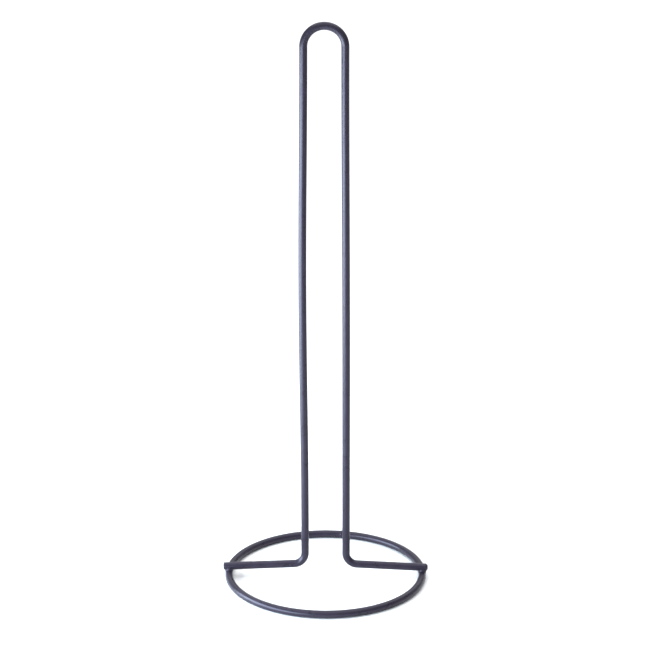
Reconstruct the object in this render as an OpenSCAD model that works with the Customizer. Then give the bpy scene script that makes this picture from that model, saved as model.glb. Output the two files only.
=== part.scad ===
// Paper towel holder: a looped upright wire whose two feet are cross-welded to a flat base ring.
// Millimetres. Origin on the counter at the middle of the ring; +X along the feet, +Z up.

/* [Wire] */
// Diameter of the round steel wire that both members are bent from
wire_d = 4.8; // [4:0.1:6]
// Share of its radius that the wire loses where it is drawn round a bend
bend_thinning = 0.01; // [0.005:0.005:0.03]
// Chamfer that takes the burr off the two cut foot ends
deburr = 0.35; // [0.2:0.05:0.6]

/* [Overall] */
// Height from the counter to the top of the loop
overall_height = 350; // [280:1:420]
// Outside diameter of the base ring
ring_outer_d = 124.8; // [100:0.2:160]

/* [Upright] */
// Distance between the two leg centrelines where they meet the bottom bends
leg_spacing = 25.4; // [20:0.1:32]
// Centreline diameter of the semicircular top loop
loop_d = 24.4; // [18:0.1:32]
// Centreline radius of the bend from each leg into its foot, in wire diameters
bend_ratio = 1.5; // [1.2:0.05:2.5]
// Angle by which each foot slopes down from its bend to the ring
foot_droop = 2.6; // [0:0.1:4]
// How far each foot end reaches past the outside of the ring
foot_overhang = 1.2; // [0.5:0.1:4]

/* [Welds] */
// Share of a wire diameter by which the two wires are pressed into each other at a cross weld
set_down = 0.12; // [0.08:0.01:0.2]
// Diameter of the fused metal at a cross weld, in wire diameters
nugget_ratio = 0.9; // [0.85:0.01:0.95]
// Share of the wire radius that is left unfused above and below the fused metal
unfused_ratio = 0.4; // [0.3:0.05:0.6]
// Bearing of the ring's butt weld, from +X towards the back
butt_bearing = 81; // [45:1:135]
// Length of the butt weld's upset band along the ring
butt_length = 2.4; // [1.6:0.1:4]
// How far the upset band stands proud of the wire
butt_upset = 0.16; // [0.05:0.01:0.4]

/* [Hidden] */
$fn = 96;
wire_r = wire_d / 2;
thin_r = wire_r * (1 - bend_thinning);
// Straight lengths run this far into the thinner bends, so that each member is one solid
lap = 0.1;
// Ring: centreline radius, and the height of its centreline when it lies on the counter
ring_r = ring_outer_d / 2 - wire_r;
ring_z = wire_r;
// Upright: the loop's centre, and the side of each leg at its bottom bend
loop_r = loop_d / 2;
loop_z = overall_height - thin_r - loop_r;
leg_x = leg_spacing / 2;
bend_r = bend_ratio * wire_d;
bend_angle = 90 - foot_droop;
// Feet: height of the foot's centreline where it crosses the ring's
cross_z = ring_z + wire_d * (1 - set_down);
bend_end_x = leg_x + bend_r - bend_r * sin(foot_droop);
bend_end_z = cross_z + (ring_r - bend_end_x) * tan(foot_droop);
leg_z = bend_end_z + bend_r * cos(foot_droop);
leg_length = norm([leg_x - loop_r, loop_z - leg_z]);
leg_lean = atan2(leg_x - loop_r, loop_z - leg_z);
foot_length = (ring_outer_d / 2 + foot_overhang - bend_end_x - wire_r * sin(foot_droop)) / cos(foot_droop);
// Cross welds: the fused metal reaches this far into each wire
nugget_d = nugget_ratio * wire_d;
nugget_low = ring_z + unfused_ratio * wire_r;
nugget_high = cross_z - unfused_ratio * wire_r;
// Butt weld: half of the angle that its band takes out of the ring, to a thousandth of a degree
butt_half = round(butt_length / 2 / ring_r * 180 / PI * 1000) / 1000;

// ---- shared shapes ----

// An arc of round bar about the origin in the XY plane, from the bearing start and on by angle
module bar_arc(centre_r, section_r, angle, start = 0) {
    rotate_extrude(angle = angle, start = start)
        translate([centre_r, 0])
            circle(r = section_r);
}

// A straight foot from the origin along +Z, lapped into its bend and deburred at its far end
module foot_bar(length) {
    rotate_extrude()
        polygon([
            [0, -lap],
            [wire_r, -lap],
            [wire_r, length - deburr],
            [wire_r - deburr, length],
            [0, length]
        ]);
}

// The fused metal of a cross weld, on the side of +X
module nugget() {
    translate([ring_r, 0, nugget_low])
        cylinder(d = nugget_d, h = nugget_high - nugget_low);
}

// One side of the upright: leg, bend and foot, on the side of +X
module leg_and_foot() {
    translate([leg_x, 0, leg_z])
        rotate([0, -leg_lean, 0])
            translate([0, 0, -lap])
                cylinder(r = wire_r, h = leg_length + 2 * lap);
    translate([leg_x + bend_r, 0, leg_z])
        rotate([90, 0, 0])
            rotate([0, 0, 180])
                bar_arc(bend_r, thin_r, bend_angle);
    translate([bend_end_x, 0, bend_end_z])
        rotate([0, 90 + foot_droop, 0])
            foot_bar(foot_length);
}

// ---- sub-parts ----

module upright_wire() {
    color("#4a4a5a")
        difference() {
            union() {
                leg_and_foot();
                mirror([1, 0, 0]) leg_and_foot();
                translate([0, 0, loop_z])
                    rotate([90, 0, 0])
                        bar_arc(loop_r, thin_r, 180);
            }
            nugget();
            mirror([1, 0, 0]) nugget();
        }
}

module base_ring() {
    color("#4f4f60")
        difference() {
            translate([0, 0, ring_z])
                bar_arc(ring_r, wire_r, 360 - 2 * butt_half, butt_bearing + butt_half);
            nugget();
            mirror([1, 0, 0]) nugget();
        }
}

module left_weld() {
    color("#6a6a78")
        mirror([1, 0, 0]) nugget();
}

module right_weld() {
    color("#6a6a78")
        nugget();
}

// The band is dressed flush with the ring's underside, so that the ring lies flat
module ring_butt_weld() {
    color("#6a6a78")
        intersection() {
            translate([0, 0, ring_z])
                bar_arc(ring_r, wire_r + butt_upset, 2 * butt_half, butt_bearing - butt_half);
            translate([-ring_outer_d, -ring_outer_d, 0])
                cube([2 * ring_outer_d, 2 * ring_outer_d, wire_d * 2]);
        }
}

upright_wire();
base_ring();
left_weld();
right_weld();
ring_butt_weld();
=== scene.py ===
"""Looks for a bent-wire paper towel holder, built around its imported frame.

The holder is two steel wires under one satin powder coat: a looped upright, and a flat base ring that the
upright's feet are cross-welded to. Each wire is formed here as the shop forms it: a cut length is carried
along its path by straight runs and bends, and then takes the slight bow that handling leaves. Lengths are
in metres unless a name says otherwise.
"""

from __future__ import annotations

import logging
import math
from dataclasses import dataclass
from enum import Enum
from typing import Any

import bmesh
import bpy
from mathutils import Matrix, Vector

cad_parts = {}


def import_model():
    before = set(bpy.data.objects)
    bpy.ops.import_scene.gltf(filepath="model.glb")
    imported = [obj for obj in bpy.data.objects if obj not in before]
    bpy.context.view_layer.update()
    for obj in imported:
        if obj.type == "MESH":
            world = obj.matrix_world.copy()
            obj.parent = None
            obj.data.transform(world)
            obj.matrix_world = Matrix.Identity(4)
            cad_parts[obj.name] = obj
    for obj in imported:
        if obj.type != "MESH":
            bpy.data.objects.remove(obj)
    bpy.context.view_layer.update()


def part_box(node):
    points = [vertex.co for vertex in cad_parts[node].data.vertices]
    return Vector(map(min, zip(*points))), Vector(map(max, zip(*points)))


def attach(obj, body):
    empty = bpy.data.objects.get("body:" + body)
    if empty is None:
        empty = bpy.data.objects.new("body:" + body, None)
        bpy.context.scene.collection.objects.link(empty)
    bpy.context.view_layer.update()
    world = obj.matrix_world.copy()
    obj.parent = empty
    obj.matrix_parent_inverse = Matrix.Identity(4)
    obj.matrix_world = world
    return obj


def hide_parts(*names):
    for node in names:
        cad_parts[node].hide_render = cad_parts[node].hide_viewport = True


LOG = logging.getLogger("towel_holder")

MM = 0.001
# Points of one piece that are closer than this are one point.
SEAM_GAP = 0.001 * MM
# Most of a noise texture's values lie between these two.
NOISE_LOW = 0.3
NOISE_HIGH = 0.7
ROOT_BODY = "root"


class Side(Enum):
    """Which half of the holder a piece belongs to, as the sign of its X."""

    LEFT = -1
    RIGHT = 1


# ---- sizes -----------------------------------------------------------------------------------------------


@dataclass(frozen=True)
class HolderSizes:
    """The holder's driving sizes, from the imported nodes' boxes and the design's own values.

    Attributes:
        wire_r: Radius of the wire.
        ring_r: Radius of the ring's centreline.
        top_z: Height of the top of the loop.
        tip_x: How far the foot ends reach from the middle.
        leg_spacing: Distance between the leg centrelines at the bottom bends.
        loop_d: Centreline diameter of the top loop.
        bend_ratio: Centreline radius of a bottom bend, in wire diameters.
        droop: Angle by which a foot slopes down to the ring, in radians.
        set_down: Share of a wire diameter by which the wires are pressed together at a cross weld.
    """

    wire_r: float
    ring_r: float
    top_z: float
    tip_x: float
    leg_spacing: float = 25.4 * MM
    loop_d: float = 24.4 * MM
    bend_ratio: float = 1.5
    droop: float = math.radians(2.6)
    set_down: float = 0.12

    @classmethod
    def from_frame(cls) -> HolderSizes:
        """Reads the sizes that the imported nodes' boxes state.

        Returns:
            The sizes of this holder.
        """
        ring_low, ring_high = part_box("base_ring")
        _, upright_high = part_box("upright_wire")
        wire_r = (ring_high[2] - ring_low[2]) / 2
        return cls(wire_r, ring_high[0] - wire_r, upright_high[2], upright_high[0])

    @property
    def ring_z(self) -> float:
        """Height of the ring's centreline."""
        return self.wire_r

    @property
    def cross_z(self) -> float:
        """Height of a foot's centreline where it crosses the ring's."""
        return self.ring_z + 2 * self.wire_r * (1 - self.set_down)

    @property
    def leg_x(self) -> float:
        """Distance of a leg's foot from the middle plane."""
        return self.leg_spacing / 2

    @property
    def loop_r(self) -> float:
        """Centreline radius of the top loop."""
        return self.loop_d / 2

    @property
    def loop_z(self) -> float:
        """Height of the top loop's centre."""
        return self.top_z - self.wire_r - self.loop_r

    @property
    def bend_r(self) -> float:
        """Centreline radius of a bottom bend."""
        return self.bend_ratio * 2 * self.wire_r

    @property
    def bend_end(self) -> Vector:
        """Where the right-hand bend hands over to its foot."""
        x = self.leg_x + self.bend_r * (1 - math.sin(self.droop))
        return Vector((x, 0, self.cross_z + (self.ring_r - x) * math.tan(self.droop)))

    @property
    def leg_z(self) -> float:
        """Height at which a leg hands over to its bottom bend."""
        return self.bend_end.z + self.bend_r * math.cos(self.droop)

    @property
    def foot_along(self) -> Vector:
        """Direction of the right foot, outwards and a little down."""
        return Vector((math.cos(self.droop), 0, -math.sin(self.droop)))

    @property
    def tip_z(self) -> float:
        """Height of a foot's centreline at its cut end."""
        return self.cross_z - (self.tip_x - self.ring_r) * math.tan(self.droop)

    @property
    def foot_length(self) -> float:
        """Length of a foot from its bend to its cut end."""
        reach = self.tip_x - self.bend_end.x - self.wire_r * math.sin(self.droop)
        return reach / math.cos(self.droop)


# ---- shared shape work -----------------------------------------------------------------------------------


def hump(off: float) -> float:
    """Gives a smooth hump that is 1 at 0 and dies away to 0 at 1 and beyond, either way."""
    return math.cos(min(abs(off), 1.0) * math.pi / 2) ** 2


def facing(spot: Vector, way: Vector) -> Matrix:
    """Gives the place of a section that faces along a wire.

    Args:
        spot: The section's centre.
        way: The wire's direction, which becomes the section's Z.

    Returns:
        The section's matrix.
    """
    return Matrix.Translation(spot) @ way.to_track_quat("Z", "Y").to_matrix().to_4x4()


def finish_piece(mesh: bmesh.types.BMesh, name: str) -> bpy.types.Object:
    """Closes a bmesh into an object at the origin, with its normals outwards.

    Quads are the drawn surface and are shaded smooth. A cut end's many-sided cap stays flat.

    Args:
        mesh: The finished shape. It is freed here.
        name: The piece's name.

    Returns:
        The object, linked to the scene.
    """
    bmesh.ops.remove_doubles(mesh, verts=mesh.verts, dist=SEAM_GAP)
    bmesh.ops.recalc_face_normals(mesh, faces=mesh.faces)
    for face in mesh.faces:
        face.smooth = len(face.verts) == 4
    data = bpy.data.meshes.new(name)
    mesh.to_mesh(data)
    mesh.free()
    piece = bpy.data.objects.new(name, data)
    bpy.context.scene.collection.objects.link(piece)
    return piece


def apply_modifiers(piece: bpy.types.Object) -> None:
    """Turns a piece's modifiers into its own mesh.

    Args:
        piece: The piece, whose modifiers are removed.
    """
    graph = bpy.context.evaluated_depsgraph_get()
    data = bpy.data.meshes.new_from_object(piece.evaluated_get(graph))
    old = piece.data
    piece.modifiers.clear()
    piece.data = data
    data.name = piece.name
    bpy.data.meshes.remove(old)


@dataclass
class WireRun:
    """A wire as it is formed: the mesh so far, and the open rim that the next run or bend carries on.

    Attributes:
        mesh: The wire's mesh.
        rim: The edges of its open end.
    """

    mesh: bmesh.types.BMesh
    rim: list[bmesh.types.BMEdge]

    @classmethod
    def cut(cls, radius: float, sides: int, place: Matrix) -> WireRun:
        """Starts a wire as one open circle.

        Args:
            radius: The wire's radius.
            sides: How many sides its section has.
            place: The circle's place, with the wire's own direction as Z.

        Returns:
            The new run.
        """
        mesh = bmesh.new()
        bmesh.ops.create_circle(mesh, cap_ends=False, segments=sides, radius=radius, matrix=place)
        return cls(mesh, list(mesh.edges))

    def straight(self, travel: Vector, steps: int) -> None:
        """Carries the rim along a straight run.

        Args:
            travel: The whole run.
            steps: How many lengths it is cut into.
        """
        for _ in range(steps):
            grown = bmesh.ops.extrude_edge_only(self.mesh, edges=self.rim)["geom"]
            corners = [part for part in grown if isinstance(part, bmesh.types.BMVert)]
            bmesh.ops.translate(self.mesh, vec=travel / steps, verts=corners)
            self.rim = [part for part in grown if isinstance(part, bmesh.types.BMEdge) and part.is_boundary]

    def bend(self, centre: Vector, axis: Vector, angle: float, steps: int) -> None:
        """Carries the rim round a bend. A full turn joins up with its own start.

        Args:
            centre: The bend's centre.
            axis: Its axis.
            angle: How far it turns, in radians by the right-hand rule.
            steps: How many lengths it is cut into.
        """
        turned = bmesh.ops.spin(
            self.mesh,
            geom=self.rim,
            cent=centre,
            axis=axis,
            angle=angle,
            steps=steps,
            use_merge=math.isclose(angle, 2 * math.pi),
            use_duplicate=False,
        )["geom_last"]
        self.rim = [part for part in turned if isinstance(part, bmesh.types.BMEdge)]

    def close(self, rim: list[bmesh.types.BMEdge], rounding: float, segments: int) -> None:
        """Caps a cut end and takes off its burr.

        Args:
            rim: The end's edges.
            rounding: How far the edge is rounded back.
            segments: How many facets round it.
        """
        bmesh.ops.contextual_create(self.mesh, geom=rim)
        bmesh.ops.bevel(
            self.mesh,
            geom=rim,
            offset=rounding,
            segments=segments,
            profile=0.5,
            affect="EDGES",
            material=-1,
        )


# ---- the upright -----------------------------------------------------------------------------------------


@dataclass(frozen=True)
class HandlingBow:
    """The sideways lean and bow that handling leaves in the two tall legs.

    Attributes:
        lean: Sideways shift at the top.
        left_bow: Outward bow of the left leg at its middle.
        right_bow: Outward bow of the right leg at its middle.
        middle_z: Height of the middle of the bow.
        half_span: Height over which the bow dies away, up and down.
    """

    lean: float = -0.75 * MM
    left_bow: float = 1.0 * MM
    right_bow: float = 0.25 * MM
    middle_z: float = 185 * MM
    half_span: float = 150 * MM

    def shift(self, spot: Vector, low_z: float, high_z: float) -> float:
        """Gives how far a point of the upright is moved sideways.

        Args:
            spot: The point, before it moves.
            low_z: Where the legs begin.
            high_z: Where they end.

        Returns:
            The shift along X.
        """
        rise = min(max((spot.z - low_z) / (high_z - low_z), 0.0), 1.0)
        # The lean grows gently from the bends and levels off at the loop.
        lean = self.lean * rise * rise * (3 - 2 * rise)
        bow = self.right_bow if spot.x > 0 else -self.left_bow
        return lean + bow * hump((spot.z - self.middle_z) / self.half_span)


@dataclass
class Upright:
    """The looped upright: one wire from the left foot's cut end to the right foot's.

    Attributes:
        sizes: The holder's sizes.
        bow: What handling did to it.
        sides: Sides of the wire's section.
        foot_steps: Lengths that a foot is cut into.
        bend_steps: Lengths that a bottom bend is cut into.
        leg_steps: Lengths that a leg is cut into.
        loop_steps: Lengths that the loop is cut into.
        left_rounding: How far the left foot's sheared edge is rounded.
        left_facets: How many facets round it.
        right_rounding: The same for the right foot, which was cut with a blunter tool.
        right_facets: How many facets round that one.
    """

    sizes: HolderSizes
    bow: HandlingBow = HandlingBow()
    sides: int = 40
    foot_steps: int = 24
    bend_steps: int = 20
    leg_steps: int = 64
    loop_steps: int = 48
    left_rounding: float = 0.5 * MM
    left_facets: int = 3
    right_rounding: float = 1.8 * MM
    right_facets: int = 10

    def form(self) -> bpy.types.Object:
        """Bends the wire.

        Returns:
            The finished piece.
        """
        s = self.sizes
        right_foot = s.foot_along * s.foot_length
        left_foot = Vector((right_foot.x, 0, -right_foot.z))
        left_leg = Vector((s.leg_x - s.loop_r, 0, s.loop_z - s.leg_z))
        right_leg = Vector((left_leg.x, 0, -left_leg.z))
        left_tip = Vector((-1, 1, 1)) * (s.bend_end + right_foot)
        bend_x = s.leg_x + s.bend_r
        turn = math.pi / 2 - s.droop
        towards_front = Vector((0, -1, 0))
        run = WireRun.cut(s.wire_r, self.sides, facing(left_tip, left_foot))
        left_end = list(run.rim)
        run.straight(left_foot, self.foot_steps)
        run.bend(Vector((-bend_x, 0, s.leg_z)), towards_front, turn, self.bend_steps)
        run.straight(left_leg, self.leg_steps)
        run.bend(Vector((0, 0, s.loop_z)), -towards_front, math.pi, self.loop_steps)
        run.straight(right_leg, self.leg_steps)
        run.bend(Vector((bend_x, 0, s.leg_z)), towards_front, turn, self.bend_steps)
        run.straight(right_foot, self.foot_steps)
        right_end = list(run.rim)
        for vert in run.mesh.verts:
            vert.co.x += self.bow.shift(vert.co, s.leg_z, s.loop_z)
        run.close(left_end, self.left_rounding, self.left_facets)
        run.close(right_end, self.right_rounding, self.right_facets)
        return finish_piece(run.mesh, "upright_wire_formed")


# ---- the base ring and its butt weld ---------------------------------------------------------------------


@dataclass
class BaseRing:
    """The flat hoop and the butt weld that closes it.

    Attributes:
        sizes: The holder's sizes.
        sides: Sides of the wire's section.
        steps: Lengths that the hoop is cut into.
        butt_bearing: Where its ends meet, from +X towards the back, in radians.
        butt_steps: Lengths that the upset band is cut into.
        butt_length: Length of the band along the ring.
        butt_upset: How far the band stands proud.
        butt_sink: How far the band's shoulders run under the wire's surface.
    """

    sizes: HolderSizes
    sides: int = 40
    steps: int = 288
    butt_bearing: float = math.radians(81)
    butt_steps: int = 16
    butt_length: float = 2.4 * MM
    butt_upset: float = 0.16 * MM
    butt_sink: float = 0.03 * MM

    def section(self, radius: float, bearing: float) -> WireRun:
        """Starts a length of the ring.

        Args:
            radius: The section's radius.
            bearing: Where it starts, in radians.

        Returns:
            The new run.
        """
        s = self.sizes
        upright = Matrix.Translation((s.ring_r, 0, s.ring_z)) @ Matrix.Rotation(-math.pi / 2, 4, "X")
        return WireRun.cut(radius, self.sides, Matrix.Rotation(bearing, 4, "Z") @ upright)

    def form(self) -> bpy.types.Object:
        """Rolls the hoop.

        Returns:
            The finished piece.
        """
        run = self.section(self.sizes.wire_r, 0)
        run.bend(Vector(), Vector((0, 0, 1)), 2 * math.pi, self.steps)
        return finish_piece(run.mesh, "base_ring_rolled")

    def form_butt_weld(self) -> bpy.types.Object:
        """Makes the soft-shouldered band of upset metal, dressed flush with the ring's underside.

        Returns:
            The finished piece.
        """
        s = self.sizes
        half = self.butt_length / 2 / s.ring_r
        run = self.section(s.wire_r - self.butt_sink, self.butt_bearing - half)
        first = list(run.rim)
        run.bend(Vector(), Vector((0, 0, 1)), 2 * half, self.butt_steps)
        last = list(run.rim)
        for rim in (first, last):
            bmesh.ops.contextual_create(run.mesh, geom=rim)
        for vert in run.mesh.verts:
            flat = vert.co.to_2d()
            off = (math.atan2(flat.y, flat.x) - self.butt_bearing) / half
            swell = (self.butt_upset + self.butt_sink) * hump(off)
            core = (flat.normalized() * s.ring_r).to_3d() + Vector((0, 0, s.ring_z))
            vert.co += (vert.co - core).normalized() * swell
            vert.co.z = max(vert.co.z, 0.0)
        return finish_piece(run.mesh, "ring_butt_weld_band")


# ---- the cross welds -------------------------------------------------------------------------------------


@dataclass
class CrossWeld:
    """A resistance weld where a foot crosses the ring: metal and coat pooled in the crotch.

    It is made as a short length of each wire and a flat bead between them, run together and then softened,
    so that only the pooled metal in the crotch stands clear of the two wires.

    Attributes:
        sizes: The holder's sizes.
        side: Which foot it holds.
        ring_reach: Half length of the softened ring wire.
        foot_reach: Half length of the softened foot, short of its rounded end.
        bead_r: Radius of the bead.
        bead_height: Height of the bead.
        sides: Sides of the three lengths' sections.
        grain: Spacing of the softened mesh.
        softening: How many passes soften it.
        soft_step: How far a pass draws each point to the middle of its neighbours.
    """

    sizes: HolderSizes
    side: Side
    ring_reach: float = 3.4 * MM
    foot_reach: float = 1.6 * MM
    bead_r: float = 2.6 * MM
    bead_height: float = 2.4 * MM
    sides: int = 64
    grain: float = 0.13 * MM
    softening: int = 150
    soft_step: float = 0.5

    def form(self) -> bpy.types.Object:
        """Runs the two short lengths and the bead together.

        Returns:
            The finished piece.
        """
        s = self.sizes
        sign = self.side.value
        along = Vector((sign * s.foot_along.x, 0, s.foot_along.z))
        ring_spot = Vector((sign * s.ring_r, 0, s.ring_z))
        foot_spot = Vector((sign * s.ring_r, 0, s.cross_z))
        mesh = bmesh.new()
        lengths = (
            (ring_spot, Vector((0, 1, 0)), s.wire_r, 2 * self.ring_reach),
            (foot_spot, along, s.wire_r, 2 * self.foot_reach),
            ((ring_spot + foot_spot) / 2, Vector((0, 0, 1)), self.bead_r, self.bead_height),
        )
        for spot, way, radius, length in lengths:
            bmesh.ops.create_cone(
                mesh,
                cap_ends=True,
                segments=self.sides,
                radius1=radius,
                radius2=radius,
                depth=length,
                matrix=facing(spot, way),
            )
        piece = finish_piece(mesh, f"{self.side.name.lower()}_weld_pool")
        melt = piece.modifiers.new("melt", "REMESH")
        melt.mode = "VOXEL"
        melt.voxel_size = self.grain
        melt.use_smooth_shade = True
        soften = piece.modifiers.new("soften", "SMOOTH")
        soften.factor = self.soft_step
        soften.iterations = self.softening
        apply_modifiers(piece)
        return piece


# ---- finishes --------------------------------------------------------------------------------------------


def linear(hex_colour: str) -> tuple[float, float, float, float]:
    """Turns an sRGB hex colour to linear RGBA.

    Args:
        hex_colour: Six hex digits, with or without a hash.

    Returns:
        The linear colour, opaque.
    """
    digits = hex_colour.lstrip("#")
    channels = [int(digits[i : i + 2], 16) / 255 for i in (0, 2, 4)]
    red, green, blue = (c / 12.92 if c <= 0.04045 else ((c + 0.055) / 1.055) ** 2.4 for c in channels)
    return red, green, blue, 1.0


def add(
    tree: bpy.types.NodeTree, kind: str, inputs: dict[str | int, Any], **settings: Any
) -> bpy.types.Node:
    """Adds a node with its settings, constants and links.

    Args:
        tree: The node tree.
        kind: The node's type, without the ShaderNode prefix.
        inputs: Socket name or number to a constant, or to the output socket that feeds it.
        **settings: The node's own properties.

    Returns:
        The node.
    """
    node = tree.nodes.new("ShaderNode" + kind)
    for name, value in settings.items():
        setattr(node, name, value)
    for name, value in inputs.items():
        if isinstance(value, bpy.types.NodeSocket):
            tree.links.new(value, node.inputs[name])
        else:
            node.inputs[name].default_value = value
    return node


def per_mm(size_mm: float) -> float:
    """Gives the texture scale at which a pattern's features are this many millimetres across."""
    return 1 / (size_mm * MM)


def shade(hex_colour: str, share: float) -> tuple[float, float, float, float]:
    """Gives a colour lightened or darkened by a share of its linear value.

    Args:
        hex_colour: The colour.
        share: What its linear value is multiplied by.

    Returns:
        The linear colour.
    """
    red, green, blue, _ = linear(hex_colour)
    return red * share, green * share, blue * share, 1.0


@dataclass(frozen=True)
class SatinPowderCoat:
    """Satin slate powder coat, sprayed on drawn steel wire and baked.

    The baked resin is a dark dielectric film, so what the eye sees is mostly its gloss: a soft-edged band
    where a softbox mirrors in it, over a nearly black violet-blue body. The film has a faint orange peel,
    pulls back thin from sheared edges, and is polished where card cores and the counter rub it.

    Attributes:
        name: The material's name.
        tip_x: How far the foot ends reach, where the film is thin.
        chip: The spot where the left foot's edge has lost its coat.
        roughness: Roughness of the untouched film.
        body: Colour of the coat.
        gloss: Tint of its gloss.
        gloss_level: How strong the gloss is, where 0.5 is a clear gloss resin.
        thin: Colour where the film is thin, at sheared edges.
        rubbed: Colour where it is rubbed.
        steel: Colour of the steel in the chip.
        cloud_mm: Size of the slow clouds that shift the tone and break the masks up.
        cloud_dark: Share of the body's colour where a cloud is darkest.
        cloud_light: Share of the body's colour where a cloud is lightest.
        peel_mm: Wavelength of the orange peel.
        peel_depth_mm: Depth of the orange peel.
        grit_mm: Size of the film's fine grit. The real 0.05 mm is drawn coarser so that it shows.
        grit_depth: Depth of the grit, as a share of the orange peel's.
        fleck_share: How strongly the grit lightens the colour.
        thin_mm: How far the thin film reaches in from a sheared end.
        polish: What full rubbing adds to the roughness.
        streak_mm: Width of the streaks that card cores rub down the legs.
        streak_squeeze: Scale of the streaks along the leg, against across it.
        streak_wear: How strongly the streaks are rubbed.
        core_low_mm: Height below which no core rubs.
        core_high_mm: Height above which every core rubs.
        counter_low_mm: Height below which the counter rubs the ring most.
        counter_high_mm: Height above which the counter does not rub the ring.
        counter_wear: How strongly the counter rubs.
        chip_mm: Size of the chip.
        bite_mm: Size of the ragged bites in the chip's edge.
    """

    name: str
    tip_x: float
    chip: tuple[float, float, float]
    roughness: float = 0.30
    body: str = "#201c27"
    gloss: str = "#f3eaff"
    gloss_level: float = 0.305
    thin: str = "#4a4a56"
    rubbed: str = "#44434e"
    steel: str = "#7c7b7d"
    cloud_mm: float = 6.0
    cloud_dark: float = 0.85
    cloud_light: float = 1.18
    peel_mm: float = 1.3
    peel_depth_mm: float = 0.016
    grit_mm: float = 0.22
    grit_depth: float = 1 / 6
    fleck_share: float = 0.45
    thin_mm: float = 0.5
    polish: float = -0.08
    streak_mm: float = 0.6
    streak_squeeze: float = 0.03
    streak_wear: float = 0.35
    core_low_mm: float = 20.0
    core_high_mm: float = 60.0
    counter_low_mm: float = 0.1
    counter_high_mm: float = 0.5
    counter_wear: float = 0.8
    chip_mm: float = 0.55
    bite_mm: float = 0.5

    def make(self) -> bpy.types.Material:
        """Builds the material.

        Returns:
            The material.
        """
        material = bpy.data.materials.new(self.name)
        material.use_nodes = True
        tree = material.node_tree
        tree.nodes.clear()
        spot = add(tree, "TexCoord", {}).outputs["Object"]
        cloud = add(
            tree, "TexNoise", {"Vector": spot, "Scale": per_mm(self.cloud_mm), "Detail": 3.0}
        ).outputs[0]
        colour, rubbing = self.colour(tree, spot, cloud)
        film = add(
            tree,
            "MapRange",
            {
                "Value": cloud,
                "From Min": NOISE_LOW,
                "From Max": NOISE_HIGH,
                "To Min": -0.04,
                "To Max": 0.05,
            },
        )
        untouched = add(tree, "Math", {0: film.outputs[0], 1: self.roughness}, operation="ADD")
        rough = add(
            tree, "Math", {0: rubbing, 1: self.polish, 2: untouched.outputs[0]}, operation="MULTIPLY_ADD"
        )
        shader = add(
            tree,
            "BsdfPrincipled",
            {
                "Base Color": colour,
                "Roughness": rough.outputs[0],
                "Specular IOR Level": self.gloss_level,
                "Specular Tint": linear(self.gloss),
                "Normal": self.relief(tree, spot),
            },
        )
        add(tree, "OutputMaterial", {"Surface": shader.outputs[0]})
        return material

    def colour(
        self, tree: bpy.types.NodeTree, spot: bpy.types.NodeSocket, cloud: bpy.types.NodeSocket
    ) -> tuple[bpy.types.NodeSocket, bpy.types.NodeSocket]:
        """Mixes the body colour with its flecks, thin edges, rubbing and chip.

        Args:
            tree: The node tree.
            spot: Where on the piece it is read.
            cloud: A noise that breaks the masks up.

        Returns:
            The colour, and the mask of what is rubbed.
        """
        tone = add(tree, "MapRange", {"Value": cloud, "From Min": NOISE_LOW, "From Max": NOISE_HIGH})
        body = add(
            tree,
            "Mix",
            {
                "Factor": tone.outputs[0],
                "A": shade(self.body, self.cloud_dark),
                "B": shade(self.body, self.cloud_light),
            },
            data_type="RGBA",
        )
        grit = add(tree, "TexNoise", {"Vector": spot, "Scale": per_mm(self.grit_mm), "Detail": 1.0})
        fleck = add(
            tree,
            "MapRange",
            {"Value": grit.outputs[0], "From Min": 0.6, "From Max": 0.8, "To Max": self.fleck_share},
        )
        rubbing = self.rubbing(tree, spot, cloud)
        coats = [
            (fleck.outputs[0], self.rubbed),
            (self.thin_edge(tree, spot, cloud), self.thin),
            (rubbing, self.rubbed),
            (self.chipped(tree, spot), self.steel),
        ]
        colour = body.outputs["Result"]
        for mask, tint in coats:
            colour = add(
                tree, "Mix", {"Factor": mask, "A": colour, "B": linear(tint)}, data_type="RGBA"
            ).outputs["Result"]
        return colour, rubbing

    def relief(self, tree: bpy.types.NodeTree, spot: bpy.types.NodeSocket) -> bpy.types.NodeSocket:
        """Bumps the film with its orange peel and its shallower grit.

        Args:
            tree: The node tree.
            spot: Where on the piece it is read.

        Returns:
            The bumped normal.
        """
        depth = self.peel_depth_mm * MM
        peel = add(tree, "TexNoise", {"Vector": spot, "Scale": per_mm(self.peel_mm), "Detail": 1.5})
        grit = add(tree, "TexNoise", {"Vector": spot, "Scale": per_mm(self.grit_mm), "Detail": 1.0})
        waves = add(tree, "Bump", {"Height": peel.outputs[0], "Distance": depth, "Strength": 1.0})
        fine = add(
            tree,
            "Bump",
            {
                "Height": grit.outputs[0],
                "Distance": depth * self.grit_depth,
                "Strength": 1.0,
                "Normal": waves.outputs[0],
            },
        )
        return fine.outputs[0]

    def thin_edge(
        self, tree: bpy.types.NodeTree, spot: bpy.types.NodeSocket, cloud: bpy.types.NodeSocket
    ) -> bpy.types.NodeSocket:
        """Masks the sheared foot ends, where the film pulls back from the edge.

        Args:
            tree: The node tree.
            spot: Where on the piece it is read.
            cloud: A noise that breaks the mask up.

        Returns:
            The mask.
        """
        across = add(tree, "SeparateXYZ", {0: spot}).outputs["X"]
        reach = add(tree, "Math", {0: across}, operation="ABSOLUTE")
        near = add(
            tree,
            "MapRange",
            {
                "Value": reach.outputs[0],
                "From Min": self.tip_x - self.thin_mm * MM,
                "From Max": self.tip_x,
            },
        )
        return add(tree, "Math", {0: near.outputs[0], 1: cloud}, operation="MULTIPLY").outputs[0]

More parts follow.
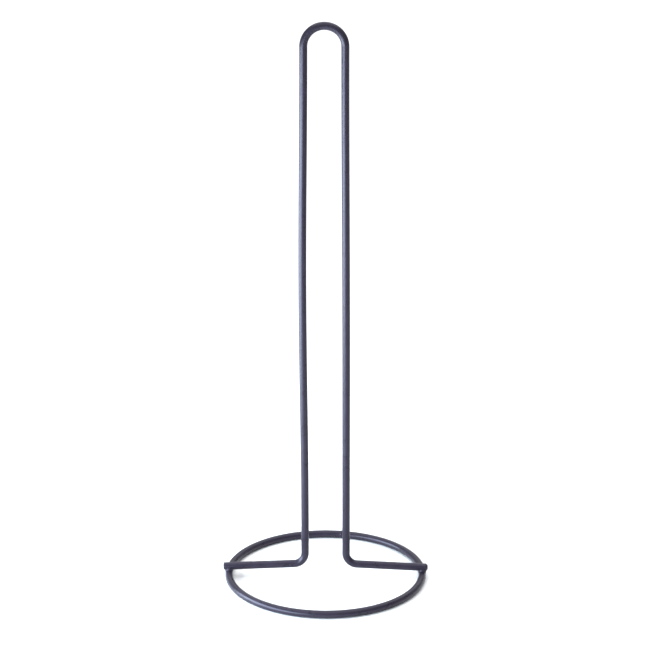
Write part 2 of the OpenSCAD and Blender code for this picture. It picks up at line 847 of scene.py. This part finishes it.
    def chipped(self, tree: bpy.types.NodeTree, spot: bpy.types.NodeSocket) -> bpy.types.NodeSocket:
        """Masks the chip at the left foot's upper edge.

        Args:
            tree: The node tree.
            spot: Where on the piece it is read.

        Returns:
            The mask.
        """
        bites = add(tree, "TexNoise", {"Vector": spot, "Scale": per_mm(self.bite_mm), "Detail": 2.0})
        away = add(tree, "VectorMath", {0: spot, 1: self.chip}, operation="DISTANCE")
        size = self.chip_mm * MM
        # The noise adds half a size on average, so the chip ends about one size from its spot.
        edge = add(
            tree,
            "Math",
            {0: bites.outputs[0], 1: size, 2: away.outputs["Value"]},
            operation="MULTIPLY_ADD",
        )
        chip = add(
            tree,
            "MapRange",
            {"Value": edge.outputs[0], "From Min": 1.55 * size, "From Max": 1.35 * size, "To Max": 0.9},
        )
        return chip.outputs[0]

    def rubbing(
        self, tree: bpy.types.NodeTree, spot: bpy.types.NodeSocket, cloud: bpy.types.NodeSocket
    ) -> bpy.types.NodeSocket:
        """Masks what is rubbed: the ring's underside, and streaks where card cores slide down the legs.

        Args:
            tree: The node tree.
            spot: Where on the piece it is read.
            cloud: A noise that breaks the mask up.

        Returns:
            The mask.
        """
        height = add(tree, "SeparateXYZ", {0: spot}).outputs["Z"]
        counter = add(
            tree,
            "MapRange",
            {
                "Value": height,
                "From Min": self.counter_high_mm * MM,
                "From Max": self.counter_low_mm * MM,
                "To Max": self.counter_wear,
            },
        )
        drawn_out = add(tree, "Mapping", {"Vector": spot, "Scale": (1.0, 1.0, self.streak_squeeze)})
        streaks = add(
            tree,
            "TexNoise",
            {"Vector": drawn_out.outputs[0], "Scale": per_mm(self.streak_mm), "Detail": 2.0},
        )
        core = add(
            tree,
            "MapRange",
            {"Value": streaks.outputs[0], "From Min": 0.6, "From Max": 0.75, "To Max": self.streak_wear},
        )
        legs = add(
            tree,
            "MapRange",
            {
                "Value": height,
                "From Min": self.core_low_mm * MM,
                "From Max": self.core_high_mm * MM,
            },
        )
        sliding = add(tree, "Math", {0: core.outputs[0], 1: legs.outputs[0]}, operation="MULTIPLY")
        both = add(tree, "Math", {0: counter.outputs[0], 1: sliding.outputs[0]}, operation="MAXIMUM")
        return add(tree, "Math", {0: both.outputs[0], 1: cloud}, operation="MULTIPLY").outputs[0]


@dataclass(frozen=True)
class MattSweep:
    """Matt white studio paper, which throws soft light back up without a highlight.

    Attributes:
        name: The material's name.
        colour: Colour of the paper.
        roughness: Roughness of the paper.
    """

    name: str = "matt_white_sweep"
    colour: str = "#f2f2f2"
    roughness: float = 0.9

    def make(self) -> bpy.types.Material:
        """Builds the material.

        Returns:
            The material.
        """
        material = bpy.data.materials.new(self.name)
        material.use_nodes = True
        shader = material.node_tree.nodes["Principled BSDF"]
        shader.inputs["Base Color"].default_value = linear(self.colour)
        shader.inputs["Roughness"].default_value = self.roughness
        return material


# ---- the studio ------------------------------------------------------------------------------------------


@dataclass(frozen=True)
class Softbox:
    """A rectangular softbox, which the camera itself does not see.

    Attributes:
        name: Its name.
        spot: Where it stands.
        aim: What it faces.
        width: Its width.
        height: Its height.
        watts: Its power.
        colour: Its linear colour.
    """

    name: str
    spot: tuple[float, float, float]
    aim: tuple[float, float, float]
    width: float
    height: float
    watts: float
    colour: tuple[float, float, float]

    def place(self) -> None:
        """Adds the light to the scene."""
        lamp = bpy.data.lights.new(self.name, "AREA")
        lamp.shape = "RECTANGLE"
        lamp.size = self.width
        lamp.size_y = self.height
        lamp.energy = self.watts
        lamp.color = self.colour
        rig = bpy.data.objects.new(self.name, lamp)
        rig.visible_camera = False
        rig.location = self.spot
        rig.rotation_euler = (Vector(self.aim) - Vector(self.spot)).to_track_quat("-Z", "Y").to_euler()
        bpy.context.scene.collection.objects.link(rig)


@dataclass
class Studio:
    """The pale floor, the soft light and the camera.

    Attributes:
        sizes: The holder's sizes.
        floor_half: Half the floor's width.
        sky: Colour of the even surround.
        sky_strength: Strength of the surround.
        camera_distance: Distance from the ring's centre to the camera, in ring radii.
        camera_rise: Elevation of the camera from the ring's centre, in radians.
        camera_turn: How far the camera stands round to the right, in radians.
        aim_height: Height of the camera's aim, in ring radii.
        aim_left: How far left of the middle the camera aims, in ring radii.
        lens_mm: Focal length of the lens.
        sensor_mm: Width of the sensor.
    """

    sizes: HolderSizes
    floor_half: float = 6.0
    sky: str = "#f4f5f7"
    sky_strength: float = 0.65
    camera_distance: float = 26.0
    camera_rise: float = math.radians(24.54)
    camera_turn: float = math.radians(0.94)
    aim_height: float = 2.713
    aim_left: float = 0.006
    lens_mm: float = 138.24
    sensor_mm: float = 36.0

    def build(self) -> None:
        """Adds the floor, the surroundings, the lights and the camera."""
        self.add_floor()
        self.add_surroundings()
        for box in self.softboxes():
            box.place()
        self.add_camera()
        bpy.context.scene.view_settings.view_transform = "Standard"

    def add_floor(self) -> None:
        """Lays the floor at the height the ring rests on."""
        mesh = bmesh.new()
        bmesh.ops.create_grid(mesh, x_segments=1, y_segments=1, size=self.floor_half)
        floor = finish_piece(mesh, "floor")
        floor.data.materials.append(MattSweep().make())

    def add_surroundings(self) -> None:
        """Sets an even pale surround."""
        world = bpy.data.worlds.new("pale_surround")
        world.use_nodes = True
        background = world.node_tree.nodes["Background"]
        background.inputs["Color"].default_value = linear(self.sky)
        background.inputs["Strength"].default_value = self.sky_strength
        bpy.context.scene.world = world

    @staticmethod
    def softboxes() -> tuple[Softbox, ...]:
        """Gives the lights.

        Returns:
            A low strip on the floor at the left, which draws the band of light down each leg and along the
            ring; a box above the front, which lights the tops of the feet; and a box that whitens the floor
            behind.
        """
        return (
            Softbox(
                "left_strip_box",
                spot=(-0.38, -0.45, 0.125),
                aim=(0.0, -0.45, 0.125),
                width=1.1,
                height=0.25,
                watts=15.5,
                colour=(0.73, 0.89, 1.0),
            ),
            Softbox(
                "front_softbox",
                spot=(0.0, -0.35, 1.4),
                aim=(0.0, -0.35, 0.0),
                width=1.8,
                height=1.4,
                watts=12.5,
                colour=(0.93, 0.95, 1.0),
            ),
            Softbox(
                "back_softbox",
                spot=(0.3, 1.5, 1.7),
                aim=(0.3, 1.5, 0.0),
                width=2.6,
                height=2.6,
                watts=40.0,
                colour=(0.95, 0.96, 1.0),
            ),
        )

    def add_camera(self) -> None:
        """Stands the camera where it looks a little down on the holder."""
        ring_r = self.sizes.ring_r
        ring_centre = Vector((0, 0, self.sizes.ring_z))
        straight_on = Vector((0, -math.cos(self.camera_rise), math.sin(self.camera_rise)))
        outwards = Matrix.Rotation(self.camera_turn, 3, "Z") @ straight_on
        spot = ring_centre + outwards * self.camera_distance * ring_r
        aim = ring_centre + Vector((-self.aim_left, 0, self.aim_height)) * ring_r
        optics = bpy.data.cameras.new("camera")
        optics.lens = self.lens_mm
        optics.sensor_width = self.sensor_mm
        camera = bpy.data.objects.new("camera", optics)
        camera.location = spot
        camera.rotation_euler = (aim - spot).to_track_quat("-Z", "Y").to_euler()
        bpy.context.scene.collection.objects.link(camera)
        bpy.context.scene.camera = camera


# ---- the whole holder ------------------------------------------------------------------------------------


@dataclass
class TowelHolder:
    """The finished holder: its pieces, in their finishes, riding on the frame.

    Attributes:
        sizes: The holder's sizes.
        weld_roughness: Roughness of the coat on the welds, where it runs over uneven metal.
    """

    sizes: HolderSizes
    weld_roughness: float = 0.36

    def build(self) -> None:
        """Forms, dresses and seats every piece."""
        s = self.sizes
        # The chip is on the left foot's upper edge, a little to the front.
        chip = (-s.tip_x, -0.3 * s.wire_r, s.tip_z + 0.9 * s.wire_r)
        coat = SatinPowderCoat("satin_powder_coat_on_wire", s.tip_x, chip).make()
        weld_coat = SatinPowderCoat(
            "satin_powder_coat_on_weld", s.tip_x, chip, roughness=self.weld_roughness
        ).make()
        ring = BaseRing(s)
        self.seat(Upright(s).form(), "upright_wire", "coated_wire", coat)
        self.seat(ring.form(), "base_ring", "coated_wire", coat)
        self.seat(ring.form_butt_weld(), "ring_butt_weld", "coated_weld", weld_coat)
        for side in Side:
            node = f"{side.name.lower()}_weld"
            self.seat(CrossWeld(s, side).form(), node, "coated_weld", weld_coat)

    @staticmethod
    def seat(piece: bpy.types.Object, node: str, slot: str, material: bpy.types.Material) -> None:
        """Dresses a piece, stands it in for its node and rides it on the frame.

        Args:
            piece: The piece.
            node: The node that it stands for.
            slot: Name of a material slot. It is not used.
            material: Its finish.
        """
        piece.data.materials.clear()
        piece.data.materials.append(material)
        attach(piece, ROOT_BODY)
        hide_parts(node)
        LOG.info("%s: %d faces, stands for %s", piece.name, len(piece.data.polygons), node)


def main() -> None:
    """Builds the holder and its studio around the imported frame."""
    logging.basicConfig(level=logging.INFO, format="%(name)s: %(message)s")
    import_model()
    sizes = HolderSizes.from_frame()
    TowelHolder(sizes).build()
    Studio(sizes).build()


if __name__ == "__main__":
    main()
